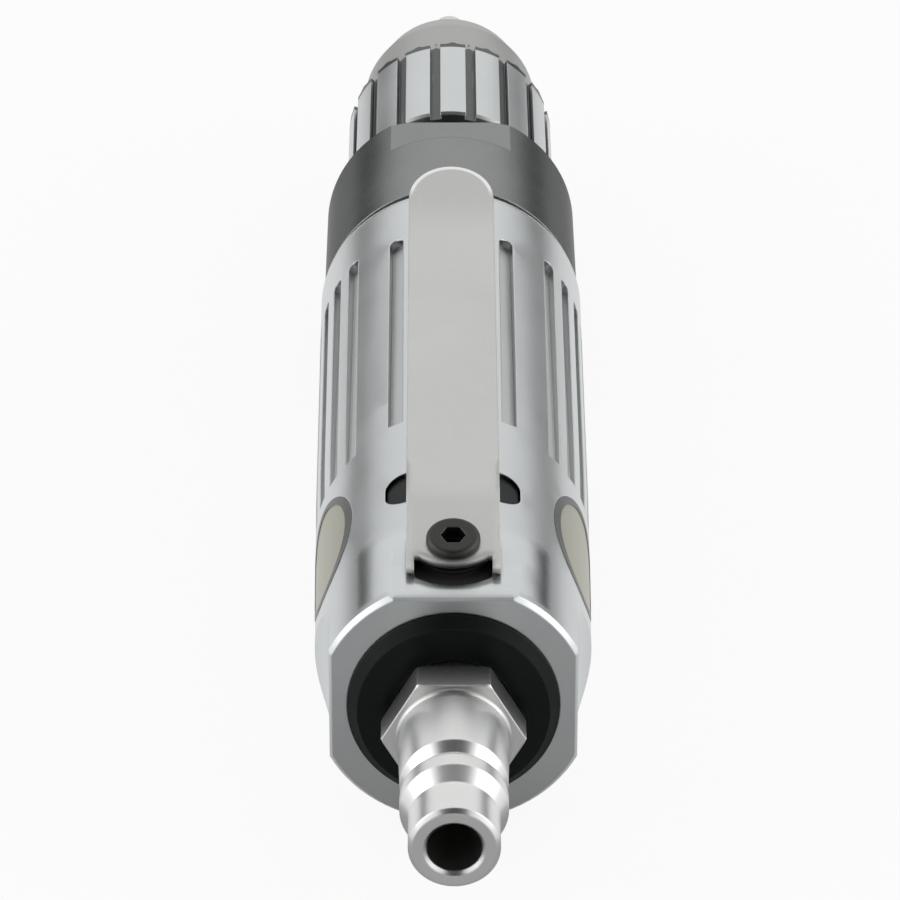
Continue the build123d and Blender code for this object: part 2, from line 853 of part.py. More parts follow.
def gear_points(teeth, backlash, phase, addendum=1.0, dedendum=1.25):
    """Outline of an involute gear; phase is the angle in radians of one tooth's middle."""
    pitch_radius = gear_module * teeth / 2
    base = pitch_radius * math.cos(math.radians(pressure_angle))
    tip = pitch_radius + addendum * gear_module
    root = pitch_radius - dedendum * gear_module
    flank_start = max(base, root)
    flank_steps = 4
    radii = [flank_start + (tip - flank_start) * step / flank_steps for step in range(flank_steps + 1)]

    def involute(radius):
        angle = math.acos(min(base / radius, 1))
        return math.tan(angle) - angle

    half_pitch = math.pi / (2 * teeth) - backlash / (2 * pitch_radius)
    halves = [half_pitch + involute(pitch_radius) - involute(radius) for radius in radii]
    flank = list(zip(radii, halves))
    if root < flank_start:
        flank.insert(0, (root, halves[0]))
    points = []
    for tooth in range(teeth):
        middle = phase + tooth * 2 * math.pi / teeth
        rising = [(radius, middle - half) for radius, half in flank]
        falling = [(radius, middle + half) for radius, half in reversed(flank)]
        points += [(radius * math.cos(angle), radius * math.sin(angle)) for radius, angle in rising + falling]
    return points


def planet_circle():
    return gear_module * (sun_teeth + planet_teeth) / 2


def planet_place(number):
    """Angle of a planet about the axis, and the place of its middle in the plane square to the axis."""
    angle = number * 2 * math.pi / planet_count
    return angle, Pos(planet_circle() * math.cos(angle), planet_circle() * math.sin(angle))


def planet_phase(angle):
    """Angle of one tooth's middle that puts a planet in mesh with a sun tooth at angle 0."""
    return angle + math.pi + (sun_teeth * angle - math.pi) / planet_teeth


def make_planet_gear(number):
    angle, place = planet_place(number)
    teeth = gear_points(planet_teeth, tooth_backlash, planet_phase(angle))
    outline = make_face(Polyline(*teeth, close=True)) - Circle(planet_pin_radius + running_gap)
    start = y_gear + planet_end_gap
    return prism(place * outline, start, start + gear_face_width)


def make_planet_pins():
    end = y_gear + planet_end_gap + gear_face_width + carrier_end_gap + carrier_thickness
    places = [planet_place(number)[1] for number in range(planet_count)]
    return grouped([prism(place * Circle(planet_pin_radius), y_gear + planet_end_gap, end) for place in places])


def make_ring_gear():
    spaces = gear_points(ring_teeth, -tooth_backlash, 0, addendum=1.25, dedendum=1.0)
    outline = Circle(motor_bore_radius - seat_gap) - make_face(Polyline(*spaces, close=True))
    return prism(outline, y_gear, y_gear_front)


# Spindle and collar

def make_spindle():
    carrier = y_gear + planet_end_gap + gear_face_width + carrier_end_gap
    shaft = spindle_bearing_bore_radius - seat_gap
    body = rod(carrier_radius, carrier, carrier + carrier_thickness)
    body += rod(spindle_shoulder_radius, carrier, y_bearing_a)
    body += rod(shaft, y_bearing_a, y_snap)
    body += rod(spindle_thread_radius, y_snap, y_snap + spindle_thread_length)
    places = [planet_place(number)[1] for number in range(planet_count)]
    holes = [
        prism(place * Circle(planet_pin_radius), carrier, carrier + carrier_thickness)
        for place in places
    ]
    screw_hole = rod(chuck_screw_radius + seat_gap, spindle_end() - chuck_screw_length, spindle_end())
    return body - holes - screw_hole


def spindle_end():
    return y_snap + spindle_thread_length


def make_collar():
    bore = spindle_bearing_outer_radius + seat_gap
    collar = turned(
        (spigot_bore_radius, y_gear_front),
        (motor_bore_radius - seat_gap, y_gear_front),
        (motor_bore_radius - seat_gap, y_front),
        (collar_radius - collar_relief_depth, y_front),
        (collar_radius - collar_relief_depth, y_front + collar_relief_width),
        (collar_radius, y_front + collar_relief_width),
        (collar_radius, y_collar_front - collar_front_chamfer),
        (collar_radius - collar_front_chamfer, y_collar_front),
        (bore, y_collar_front),
        (bore, y_bearing_a),
        (spigot_bore_radius, y_bearing_a),
    )
    collar -= ring(bore - seat_gap, bore + snap_ring_depth, y_snap, y_snap + snap_ring_thickness)
    flat = Box(4 * collar_radius, collar_flat_length, collar_radius)
    y_flat = y_collar_front - collar_flat_length / 2
    z_flat = collar_flat_height + collar_radius / 2
    return collar - [Pos(0, y_flat, z_flat) * flat, Pos(0, y_flat, -z_flat) * flat]


def make_bearing_spacer():
    outer = spindle_bearing_outer_radius
    start = y_bearing_a + spindle_bearing_width
    return ring(outer - spacer_wall, outer, start, y_bearing_b)


def make_spindle_spacer():
    bore = spindle_bearing_bore_radius
    start = y_bearing_a + spindle_bearing_width
    return ring(bore, bore + spacer_wall, start, y_bearing_b)


def make_snap_ring():
    outer = spindle_bearing_outer_radius + snap_ring_depth
    circlip = ring(outer - snap_ring_width, outer, y_snap, y_snap + snap_ring_thickness)
    opening = Pos(0, y_snap, -outer) * Box(snap_ring_opening, 4 * snap_ring_thickness, outer)
    return circlip - opening


# Chuck

def jaw_axis():
    """Plane at the tip of the uppermost jaw that looks back along it, away from the grip."""
    angle = math.radians(jaw_angle)
    return Plane(
        origin=(0, y_jaw_tip, jaw_axis_at_tip),
        x_dir=(1, 0, 0),
        z_dir=(0, -math.cos(angle), math.sin(angle)),
    )


def jaw_bore(number, radius, length):
    return spun(extrude(jaw_axis() * Circle(radius), length), number * 360 / jaw_count)


def make_jaw(number):
    """Jaw in its own third of the chuck: a slanted rod with a grip face, two sides and a tapered tip."""
    blank = extrude(jaw_axis() * Circle(jaw_radius), jaw_length)
    rear = y_jaw_tip - jaw_length
    taper = turned(
        (grip_radius, rear),
        (chuck_body_radius, rear),
        (chuck_body_radius, y_jaw_tip - jaw_tip_length),
        (jaw_tip_shoulder, y_jaw_tip - jaw_tip_length),
        (jaw_tip_radius, y_jaw_tip),
        (grip_radius, y_jaw_tip),
    )
    reach = 2 * chuck_body_radius
    side = jaw_half_gap / math.sin(math.radians(180 / jaw_count))
    half_width = reach * math.tan(math.radians(180 / jaw_count))
    wedge = make_face(Polyline((0, -side), (half_width, -side - reach), (-half_width, -side - reach), close=True))
    jaw = blank & taper & prism(wedge, rear, y_jaw_tip)
    return spun(jaw, number * 360 / jaw_count)


def make_chuck_body():
    step = y_nut + nut_length + seat_gap
    nut_bore = sleeve_inner_radius - nut_thickness
    neck = nut_bore - free_gap
    cone_inner = sleeve_cone_front_radius - sleeve_wall - running_gap
    lip_inner = sleeve_lip_radius - sleeve_wall - running_gap
    cone_start = sleeve_cone_rear_radius - sleeve_wall - running_gap
    body = turned(
        (0, y_snap),
        (chuck_hub_radius, y_snap),
        (chuck_hub_radius, y_chuck),
        (chuck_body_radius, y_chuck),
        (chuck_body_radius, y_nut - seat_gap),
        (neck, y_nut - seat_gap),
        (neck, step),
        (cone_start, step),
        (cone_start, y_cone),
        (cone_inner, y_cone_front),
        (lip_inner, y_lip),
        (chuck_nose_rear_radius, y_lip + running_gap),
        (chuck_nose_front_radius, y_nose),
        (0, y_nose),
    )
    length = jaw_length + jaw_travel_room
    cuts = [jaw_bore(number, jaw_radius + running_gap, length) for number in range(jaw_count)]
    cuts.append(rod(spindle_thread_radius + seat_gap, y_snap, spindle_end()))
    cuts.append(rod(chuck_bore_radius, spindle_end(), y_nose))
    return body - cuts


def make_chuck_screw():
    start = spindle_end()
    head = rod(chuck_screw_head_radius, start, start + chuck_screw_head_height)
    socket = prism(RegularPolygon(chuck_screw_head_radius / 2, 6), start, start + chuck_screw_head_height)
    return head + rod(chuck_screw_radius, start - chuck_screw_length, start) - socket


def make_jaw_nut():
    inner = sleeve_inner_radius - nut_thickness
    return ring(inner, sleeve_inner_radius, y_nut, y_nut + nut_length)


def rib_groove(number):
    """Flat-bottomed groove between two ribs, run out on the sleeve's front cone."""
    floor = sleeve_radius - rib_groove_depth
    rear = y_chuck - rib_groove_width
    front = y_cone - rib_groove_width / 2
    slot = Pos(0, (rear + front) / 2) * Rectangle(rib_groove_width, front - rear)
    slot += Pos(0, front) * Circle(rib_groove_width / 2)
    cutter = extrude(Plane.XY.offset(floor) * slot, sleeve_radius)
    return spun(cutter, (number + 0.5) * 360 / rib_count + rib_turn)


def scallop(number):
    """Round bite out of the front edge of the ribs. There are two to each rib."""
    mouth = Pos(0, y_cone - scallop_setback) * Circle(scallop_radius)
    cutter = extrude(Plane.XY.offset(sleeve_cone_rear_radius + scallop_floor) * mouth, sleeve_radius)
    return spun(cutter, (number + 0.5) * 180 / rib_count + rib_turn)


def make_chuck_sleeve():
    step = y_nut + nut_length + seat_gap
    bevel_radius = sleeve_radius - sleeve_front_bevel
    sleeve = turned(
        (sleeve_inner_radius, y_chuck),
        (sleeve_radius - sleeve_rear_bevel, y_chuck),
        (sleeve_radius, y_chuck + sleeve_rear_bevel),
        (sleeve_radius, y_rib_front),
        (bevel_radius, y_cone),
        (sleeve_cone_rear_radius, y_cone),
        (sleeve_cone_rear_radius - sleeve_cone_bend_fall, y_cone + sleeve_cone_bend_length),
        (sleeve_cone_front_radius, y_cone_front),
        (sleeve_lip_radius, y_lip),
        (sleeve_lip_radius - sleeve_wall, y_lip),
        (sleeve_cone_front_radius - sleeve_wall, y_cone_front),
        (sleeve_cone_rear_radius - sleeve_wall, y_cone),
        (sleeve_cone_rear_radius - sleeve_wall, step),
        (sleeve_inner_radius, step),
    )
    cuts = [rib_groove(number) for number in range(rib_count)]
    cuts += [scallop(number) for number in range(2 * rib_count)]
    return sleeve - cuts


def make_parts():
    parts = {
        "air_plug": make_air_plug(),
        "rear_cap": make_rear_cap(),
        "cap_ring": make_cap_ring(),
        "silencer_felt": make_silencer_felt(),
        "inlet_bushing": make_inlet_bushing(),
        "inlet_strainer": make_inlet_strainer(),
        "housing": make_housing(),
        "badge_right": make_badge(1),
        "badge_left": make_badge(-1),
        "lever": make_lever(),
        "lever_screw": make_lever_screw(),
        "lever_cushion": make_lever_cushion(),
        "throttle_button": make_throttle_button(),
        "valve_stem": make_valve_stem(),
        "valve_ball": make_valve_ball(),
        "stem_guide": make_stem_guide(),
        "valve_seat": make_valve_seat(),
        "valve_spring": make_valve_spring(),
        "rear_end_plate": make_rear_end_plate(),
        "cylinder_liner": make_cylinder_liner(),
        "front_end_plate": make_front_end_plate(),
        "locating_pin": make_locating_pin(),
        "rotor": make_rotor(),
        "rotor_vanes": make_rotor_vanes(),
        "ring_gear": make_ring_gear(),
        "planet_pins": make_planet_pins(),
        "spindle": make_spindle(),
        "collar": make_collar(),
        "bearing_spacer": make_bearing_spacer(),
        "spindle_spacer": make_spindle_spacer(),
        "snap_ring": make_snap_ring(),
        "chuck_body": make_chuck_body(),
        "chuck_screw": make_chuck_screw(),
        "jaw_nut": make_jaw_nut(),
        "chuck_sleeve": make_chuck_sleeve(),
    }
    bearings = {
        "rotor_rear_bearing": make_bearing(
            rear_bearing_bore_radius,
            rear_bearing_outer_radius,
            rear_bearing_width,
            rear_bearing_ball_count,
            y_shoulder,
        ),
        "rotor_front_bearing": make_bearing(
            front_bearing_bore_radius,
            front_bearing_outer_radius,
            front_bearing_width,
            front_bearing_ball_count,
            y_gear - front_bearing_width,
        ),
    }
    spindle_bearings = {"spindle_rear_bearing": y_bearing_a, "spindle_front_bearing": y_bearing_b}
    for name, start in spindle_bearings.items():
        bearings[name] = make_bearing(
            spindle_bearing_bore_radius,
            spindle_bearing_outer_radius,
            spindle_bearing_width,
            spindle_bearing_ball_count,
            start,
        )
    for name, (outer_ring, balls, inner_ring) in bearings.items():
        parts[name + "_outer"] = outer_ring
        parts[name + "_balls"] = balls
        parts[name + "_inner"] = inner_ring
    for number in range(planet_count):
        parts[f"planet_gear_{number + 1}"] = make_planet_gear(number)
    for number in range(jaw_count):
        parts[f"jaw_{number + 1}"] = make_jaw(number)
    return parts


os.makedirs("parts", exist_ok=True)
for node, shape in make_parts().items():
    export_step(shape, f"parts/{node}.step")
print("overall length", round(y_jaw_tip, 2), "housing", round(y_rear, 2), "to", round(y_front, 2))
print("lever pivot", tail.from_local_coords((0, -ear_reach, -ear_drop)))
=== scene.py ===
import json
import math

import bmesh
import bpy
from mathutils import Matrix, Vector


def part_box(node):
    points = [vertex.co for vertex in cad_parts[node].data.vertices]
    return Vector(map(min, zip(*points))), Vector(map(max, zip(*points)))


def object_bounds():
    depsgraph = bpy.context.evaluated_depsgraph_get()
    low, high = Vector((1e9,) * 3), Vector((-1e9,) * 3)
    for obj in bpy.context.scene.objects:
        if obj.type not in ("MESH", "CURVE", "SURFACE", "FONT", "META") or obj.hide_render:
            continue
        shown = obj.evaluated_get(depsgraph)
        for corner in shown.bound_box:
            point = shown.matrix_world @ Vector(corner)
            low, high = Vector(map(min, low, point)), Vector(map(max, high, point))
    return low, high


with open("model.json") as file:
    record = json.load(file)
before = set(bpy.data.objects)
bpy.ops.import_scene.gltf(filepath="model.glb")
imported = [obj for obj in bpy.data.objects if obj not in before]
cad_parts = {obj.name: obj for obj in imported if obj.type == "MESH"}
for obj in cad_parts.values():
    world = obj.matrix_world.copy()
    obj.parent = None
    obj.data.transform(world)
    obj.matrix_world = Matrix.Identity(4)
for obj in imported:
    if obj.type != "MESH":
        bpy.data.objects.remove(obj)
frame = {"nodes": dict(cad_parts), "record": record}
cad_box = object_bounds()
nodes = frame["nodes"]

MM = 0.001

# Places and sizes on the drill, in metres
rib_skin = 13.55 * MM
rib_face_end = 179.6 * MM
cone_skin = 12.9 * MM
cone_start = 182.6 * MM
flute_rear = 63.0 * MM
flute_skin = 15.85 * MM
tail_start = 30.6 * MM
tail_end = 45.0 * MM
tail_floor = 12.0 * MM
tail_flat_half_width = 6.8 * MM
fold_end = 52.0 * MM
lever_tip_length = 8.5 * MM
badge_centre = 53.5 * MM
badge_angle = math.radians(70)
badge_field_half_length = 9.1 * MM
badge_field_half_height = 5.2 * MM

# Stage, in metres and watts
floor_half_width = 4.0
floor_seen_share = 0.90
shade_sheet_lift = 0.0004
dark_shade = 0.06
wall_radius = 0.5
wall_middle = 0.108
wall_start = math.radians(14)
wall_end = math.radians(66)
wall_lift = 0.005
wall_height = 0.115
canopy_width = 0.84
canopy_length = 0.95
canopy_middle = -0.24
canopy_height = 0.75
canopy_drop = 0.65
softbox_distance = 0.8
softbox_ahead = 0.08
softbox_height = 0.4
softbox_target = Vector((0, 0.06, 0))
softbox_width = 0.7
softbox_power = 1.9
surround_strength = 0.6

# Camera
camera_place = (-0.0017, -0.452, 0.294)
camera_pitch = math.radians(28.5)
camera_yaw = math.radians(0.156)
camera_sensor = 36.0
camera_lens = 201.2

# Near black film in the corners of the metal: dirt, and painted shade where the corners are hidden from the
# light
corner_dirt_and_shade_colour = (0.035, 0.034, 0.032, 1.0)


# Node helpers

def add_node(tree, kind, **settings):
    node = tree.nodes.new(kind)
    for key, value in settings.items():
        setattr(node, key, value)
    return node


def feed(tree, source, target):
    """Links an output to an input, or sets the input where the source is a plain value."""
    if isinstance(source, bpy.types.NodeSocket):
        tree.links.new(source, target)
    else:
        target.default_value = source


def maths(tree, operation, first, second=0.0):
    node = add_node(tree, "ShaderNodeMath", operation=operation)
    feed(tree, first, node.inputs[0])
    feed(tree, second, node.inputs[1])
    return node.outputs[0]


def times_plus(tree, value, factor, addend):
    node = add_node(tree, "ShaderNodeMath", operation="MULTIPLY_ADD")
    feed(tree, value, node.inputs[0])
    feed(tree, factor, node.inputs[1])
    feed(tree, addend, node.inputs[2])
    return node.outputs[0]


def fade(tree, value, low, high):
    """0 at low and 1 at high, with soft ends; low may be the greater one."""
    node = add_node(tree, "ShaderNodeMapRange", interpolation_type="SMOOTHSTEP")
    feed(tree, value, node.inputs["Value"])
    if low < high:
        start, end = 0.0, 1.0
    else:
        low, high = high, low
        start, end = 1.0, 0.0
    node.inputs["From Min"].default_value = low
    node.inputs["From Max"].default_value = high
    node.inputs["To Min"].default_value = start
    node.inputs["To Max"].default_value = end
    return node.outputs["Result"]


def mix(tree, mask, first, second):
    node = add_node(tree, "ShaderNodeMix", data_type="RGBA")
    feed(tree, mask, node.inputs["Factor"])
    feed(tree, first, node.inputs[6])
    feed(tree, second, node.inputs[7])
    return node.outputs[2]


def object_place(tree):
    return add_node(tree, "ShaderNodeTexCoord").outputs["Object"]


def place_parts(tree):
    parts = add_node(tree, "ShaderNodeSeparateXYZ")
    tree.links.new(object_place(tree), parts.inputs[0])
    return parts.outputs


def noise(tree, place, detail):
    node = add_node(tree, "ShaderNodeTexNoise")
    node.inputs["Scale"].default_value = 1.0
    node.inputs["Detail"].default_value = detail
    node.inputs["Roughness"].default_value = 0.6
    tree.links.new(place, node.inputs["Vector"])
    return node.outputs[0]


def start_group(name, inputs, outputs):
    tree = bpy.data.node_groups.new(name, "ShaderNodeTree")
    for label, value in inputs.items():
        socket = tree.interface.new_socket(name=label, in_out="INPUT", socket_type="NodeSocketFloat")
        socket.default_value = value
    for label, kind in outputs.items():
        tree.interface.new_socket(name=label, in_out="OUTPUT", socket_type=kind)
    return tree, tree.nodes.new("NodeGroupInput").outputs, tree.nodes.new("NodeGroupOutput").inputs


def use_group(tree, group, **values):
    node = add_node(tree, "ShaderNodeGroup", node_tree=group)
    for label, value in values.items():
        feed(tree, value, node.inputs[label])
    return node.outputs


# Effects that several finishes share

def make_turning_marks():
    """Fine uneven rings round the tool's axis, as a lathe leaves them. Fineness is rings per millimetre."""
    tree, given, result = start_group("turning_marks", {"Fineness": 6.0}, {"Lines": "NodeSocketFloat"})
    along = maths(tree, "MULTIPLY", place_parts(tree)["Y"], 1 / MM)
    rings = add_node(tree, "ShaderNodeTexNoise", noise_dimensions="1D")
    rings.inputs["Scale"].default_value = 1.0
    rings.inputs["Detail"].default_value = 2.0
    tree.links.new(maths(tree, "MULTIPLY", along, given["Fineness"]), rings.inputs["W"])
    tree.links.new(rings.outputs[0], result["Lines"])
    return tree


def make_brush_streaks():
    """Streaks along the tool. Fineness is streaks per millimetre, Length their length in millimetres."""
    tree, given, result = start_group(
        "brush_streaks", {"Fineness": 5.0, "Length": 12.0}, {"Lines": "NodeSocketFloat"}
    )
    across = maths(tree, "MULTIPLY", given["Fineness"], 1 / MM)
    scale = add_node(tree, "ShaderNodeCombineXYZ")
    tree.links.new(across, scale.inputs["X"])
    tree.links.new(maths(tree, "DIVIDE", 1 / MM, given["Length"]), scale.inputs["Y"])
    tree.links.new(across, scale.inputs["Z"])
    stretched = add_node(tree, "ShaderNodeVectorMath", operation="MULTIPLY")
    tree.links.new(object_place(tree), stretched.inputs[0])
    tree.links.new(scale.outputs[0], stretched.inputs[1])
    tree.links.new(noise(tree, stretched.outputs[0], 3.0), result["Lines"])
    return tree


def make_mottle():
    """Cloudy spots. Size is their size in millimetres."""
    tree, given, result = start_group("mottle", {"Size": 8.0}, {"Spots": "NodeSocketFloat"})
    scaled = add_node(tree, "ShaderNodeVectorMath", operation="SCALE")
    tree.links.new(object_place(tree), scaled.inputs[0])
    tree.links.new(maths(tree, "DIVIDE", 1 / MM, given["Size"]), scaled.inputs["Scale"])
    tree.links.new(noise(tree, scaled.outputs[0], 3.0), result["Spots"])
    return tree


def make_scratches():
    """Thin sparse scratches along and slightly across the tool."""
    tree, given, result = start_group("scratches", {"Fineness": 1.6}, {"Marks": "NodeSocketFloat"})
    place = object_place(tree)
    marks = 0.0
    for turn, limit in ((0.25, 0.71), (-0.4, 0.73)):
        mapping = add_node(tree, "ShaderNodeMapping")
        mapping.inputs["Rotation"].default_value = (0, 0, turn)
        mapping.inputs["Scale"].default_value = (1 / MM, 0.06 / MM, 1 / MM)
        tree.links.new(place, mapping.inputs["Vector"])
        scaled = add_node(tree, "ShaderNodeVectorMath", operation="SCALE")
        tree.links.new(mapping.outputs[0], scaled.inputs[0])
        tree.links.new(given["Fineness"], scaled.inputs["Scale"])
        line = fade(tree, noise(tree, scaled.outputs[0], 1.0), limit, limit + 0.03)
        marks = maths(tree, "MAXIMUM", marks, line)
    tree.links.new(marks, result["Marks"])
    return tree


def make_edge_wear():
    """Mask of rubbed edges, and the normal of an edge rounded to the radius."""
    tree, given, result = start_group(
        "edge_wear", {"Radius": 0.2 * MM}, {"Wear": "NodeSocketFloat", "Rounded": "NodeSocketVector"}
    )
    rounded = add_node(tree, "ShaderNodeBevel", samples=6)
    tree.links.new(given["Radius"], rounded.inputs["Radius"])
    facing = add_node(tree, "ShaderNodeVectorMath", operation="DOT_PRODUCT")
    tree.links.new(rounded.outputs[0], facing.inputs[0])
    tree.links.new(add_node(tree, "ShaderNodeNewGeometry").outputs["Normal"], facing.inputs[1])
    turned = maths(tree, "SUBTRACT", 1.0, facing.outputs["Value"])
    scaled = add_node(tree, "ShaderNodeVectorMath", operation="SCALE")
    tree.links.new(object_place(tree), scaled.inputs[0])
    scaled.inputs["Scale"].default_value = 0.8 / MM
    patches = times_plus(tree, noise(tree, scaled.outputs[0], 2.0), 1.2, 0.2)
    tree.links.new(maths(tree, "MULTIPLY", fade(tree, turned, 0.02, 0.25), patches), result["Wear"])
    tree.links.new(rounded.outputs[0], result["Rounded"])
    return tree


def make_crevice_dirt_and_shade():
    """Mask of dirt and painted shade in grooves and corners, stronger the more hidden they are. Reach is in
    metres.
    """
    tree, given, result = start_group("crevice_dirt_and_shade", {"Reach": 1.2 * MM}, {"DirtAndShade": "NodeSocketFloat"})
    # Painted shade: how little of its surroundings a point sees decides how dark its corner film is
    hidden = add_node(tree, "ShaderNodeAmbientOcclusion", samples=8, only_local=True)
    tree.links.new(given["Reach"], hidden.inputs["Distance"])
    shut = maths(tree, "SUBTRACT", 1.0, hidden.outputs["AO"])
    scaled = add_node(tree, "ShaderNodeVectorMath", operation="SCALE")
    tree.links.new(object_place(tree), scaled.inputs[0])
    scaled.inputs["Scale"].default_value = 0.5 / MM
    patches = times_plus(tree, noise(tree, scaled.outputs[0], 2.0), 0.8, 0.5)
    tree.links.new(maths(tree, "MULTIPLY", fade(tree, shut, 0.15, 0.7), patches), result["DirtAndShade"])
    return tree


turning_marks = make_turning_marks()
brush_streaks = make_brush_streaks()
mottle = make_mottle()
scratches = make_scratches()
edge_wear = make_edge_wear()
crevice_dirt_and_shade = make_crevice_dirt_and_shade()


# Finishes

def start_material(name):
    material = bpy.data.materials.new(name)
    material.use_nodes = True
    return material, material.node_tree, material.node_tree.nodes["Principled BSDF"]


def shaded(colour, factor):
    return tuple(min(1.0, part * factor) for part in colour) + (1.0,)


def finish_relief(tree, shader, height, relief, normal):
    bump = add_node(tree, "ShaderNodeBump")
    bump.inputs["Strength"].default_value = 1.0
    bump.inputs["Distance"].default_value = relief
    tree.links.new(height, bump.inputs["Height"])
    tree.links.new(normal, bump.inputs["Normal"])
    tree.links.new(bump.outputs[0], shader.inputs["Normal"])


def metal(name, colour, worn, roughness, lines, relief, edge=0.2 * MM, spread=0.08, grain=0.25, dirt_and_shade_amount=0.3,
          scratch=0.1, rim=1.0, rounding=None, extra_roughness=None):
    """Machined metal: cloudy colour, lathe rings or streaks, rubbed edges, dirt and painted shade in its
    corners, and scratches.

    colour is a plain colour, or a function that adds nodes for one. rim is how much it mirrors at a flat angle.
    rounding and extra_roughness are functions that add nodes: one for the radius of the edges, the other for a
    roughness that differs from place to place."""
    material, tree, shader = start_material(name)
    clouds = use_group(tree, mottle, Size=11.0)["Spots"]
    grains = use_group(tree, mottle, Size=grain)["Spots"]
    edges = use_group(tree, edge_wear, Radius=edge)
    dirt_and_shade_mask = use_group(tree, crevice_dirt_and_shade)["DirtAndShade"]
    scores = use_group(tree, scratches)["Marks"]
    group, values = lines
    line = use_group(tree, group, **values)["Lines"]
    if callable(colour):
        base = colour(tree, clouds)
    else:
        base = mix(tree, clouds, shaded(colour, 0.92), shaded(colour, 1.06))
    base = mix(tree, maths(tree, "MULTIPLY", scores, scratch), base, shaded(worn, 1.0))
    base = mix(tree, edges["Wear"], base, shaded(worn, 1.0))
    # Dirt and painted shade: hidden corners are darkened towards the near black film colour
    base = mix(tree, maths(tree, "MULTIPLY", dirt_and_shade_mask, dirt_and_shade_amount), base, corner_dirt_and_shade_colour)
    tree.links.new(base, shader.inputs["Base Color"])
    rough = times_plus(tree, clouds, spread, roughness - spread / 2)
    rough = times_plus(tree, line, spread, rough)
    rough = times_plus(tree, dirt_and_shade_mask, 0.25 * dirt_and_shade_amount, rough)
    if extra_roughness:
        rough = maths(tree, "ADD", rough, extra_roughness(tree))
    tree.links.new(rough, shader.inputs["Roughness"])
    shader.inputs["Metallic"].default_value = 1.0
    shader.inputs["Specular Tint"].default_value = (rim, rim, rim, 1.0)
    height = times_plus(tree, grains, 0.4, line)
    height = times_plus(tree, scores, -0.8 * scratch, height)
    if rounding:
        edges = use_group(tree, edge_wear, Radius=rounding(tree))
    finish_relief(tree, shader, height, relief, edges["Rounded"])
    return material


def moulded(name, colour, worn, roughness, grain, relief, edge=0.2 * MM, shine=0.25):
    """Moulded plastic, rubber, resin or paint: fine grain, cloudy gloss and paler rubbed edges."""
    material, tree, shader = start_material(name)
    clouds = use_group(tree, mottle, Size=7.0)["Spots"]
    grains = use_group(tree, mottle, Size=grain)["Spots"]
    edges = use_group(tree, edge_wear, Radius=edge)
    base = mix(tree, clouds, shaded(colour, 0.8), shaded(colour, 1.25))
    base = mix(tree, edges["Wear"], base, shaded(worn, 1.0))
    tree.links.new(base, shader.inputs["Base Color"])
    tree.links.new(times_plus(tree, clouds, 0.16, roughness - 0.08), shader.inputs["Roughness"])
    shader.inputs["Specular IOR Level"].default_value = shine
    finish_relief(tree, shader, grains, relief, edges["Rounded"])
    return material


def axis_distance(tree, place):
    square = maths(tree, "POWER", place["X"], 2.0)
    return maths(tree, "SQRT", maths(tree, "ADD", square, maths(tree, "POWER", place["Z"], 2.0)))


def flute_share(tree):
    """1 on the blasted floors of the housing's flutes."""
    place = place_parts(tree)
    ahead = fade(tree, place["Y"], flute_rear - 0.5 * MM, flute_rear)
    below = fade(tree, axis_distance(tree, place), flute_skin + 0.1 * MM, flute_skin - 0.1 * MM)
    return maths(tree, "MULTIPLY", ahead, below)


def housing_colour(tree, clouds):
    skin = mix(tree, clouds, (0.545, 0.565, 0.57, 1.0), (0.625, 0.645, 0.65, 1.0))
    return mix(tree, flute_share(tree), skin, (0.58, 0.595, 0.585, 1.0))


def housing_roughness(tree):
    """Rougher floors of the flutes and rear edge, and a smoother flat under the lever's tail."""
    extra = maths(tree, "MULTIPLY", flute_share(tree), 0.28)
    extra = times_plus(tree, rear_edge_share(tree), 0.35, extra)
    return times_plus(tree, tail_share(tree), -0.12, extra)


def sleeve_colour(tree, clouds):
    """Pale ribs, painted shade that makes the grooves and the bevels round them near black, and a duller cone
    in front.
    """
    place = place_parts(tree)
    groove_shade_mask = fade(tree, axis_distance(tree, place), rib_skin + 0.1 * MM, rib_skin - 0.1 * MM)
    ahead = fade(tree, place["Y"], rib_face_end - 0.1 * MM, rib_face_end + 0.1 * MM)
    ribs = mix(tree, clouds, (0.53, 0.55, 0.555, 1.0), (0.62, 0.64, 0.645, 1.0))
    # Painted shade: the grooves and the bevels round the ribs are coloured near black
    ribs = mix(tree, maths(tree, "MAXIMUM", groove_shade_mask, ahead), ribs, (0.085, 0.09, 0.088, 1.0))
    cone = mix(tree, clouds, (0.39, 0.39, 0.38, 1.0), (0.46, 0.46, 0.45, 1.0))
    return mix(tree, cone_share(tree), ribs, cone)


def cone_share(tree):
    """1 on the sleeve's cone and on the floors of the scallops behind it."""
    place = place_parts(tree)
    cone = fade(tree, place["Y"], cone_start - 0.1 * MM, cone_start + 0.1 * MM)
    ahead = fade(tree, place["Y"], rib_face_end, rib_face_end + 0.1 * MM)
    below = fade(tree, axis_distance(tree, place), cone_skin + 0.06 * MM, cone_skin - 0.06 * MM)
    return maths(tree, "MAXIMUM", cone, maths(tree, "MULTIPLY", ahead, below))


def cone_roughness(tree):
    return maths(tree, "MULTIPLY", cone_share(tree), 0.18)


def rear_edge_share(tree):
    """1 on the bevel at the rear end of the tail's flat."""
    place = place_parts(tree)
    rear_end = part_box("housing")[0].y
    rear = fade(tree, place["Y"], rear_end, rear_end + 0.05 * MM)
    front = fade(tree, place["Y"], tail_start - 0.2 * MM, tail_start - 0.3 * MM)
    above = fade(tree, place["Z"], tail_floor - 1.0 * MM, tail_floor)
    aside = maths(tree, "ABSOLUTE", place["X"])
    across = fade(tree, aside, tail_flat_half_width, tail_flat_half_width - 0.4 * MM)
    return maths(tree, "MULTIPLY", maths(tree, "MULTIPLY", rear, front), maths(tree, "MULTIPLY", above, across))


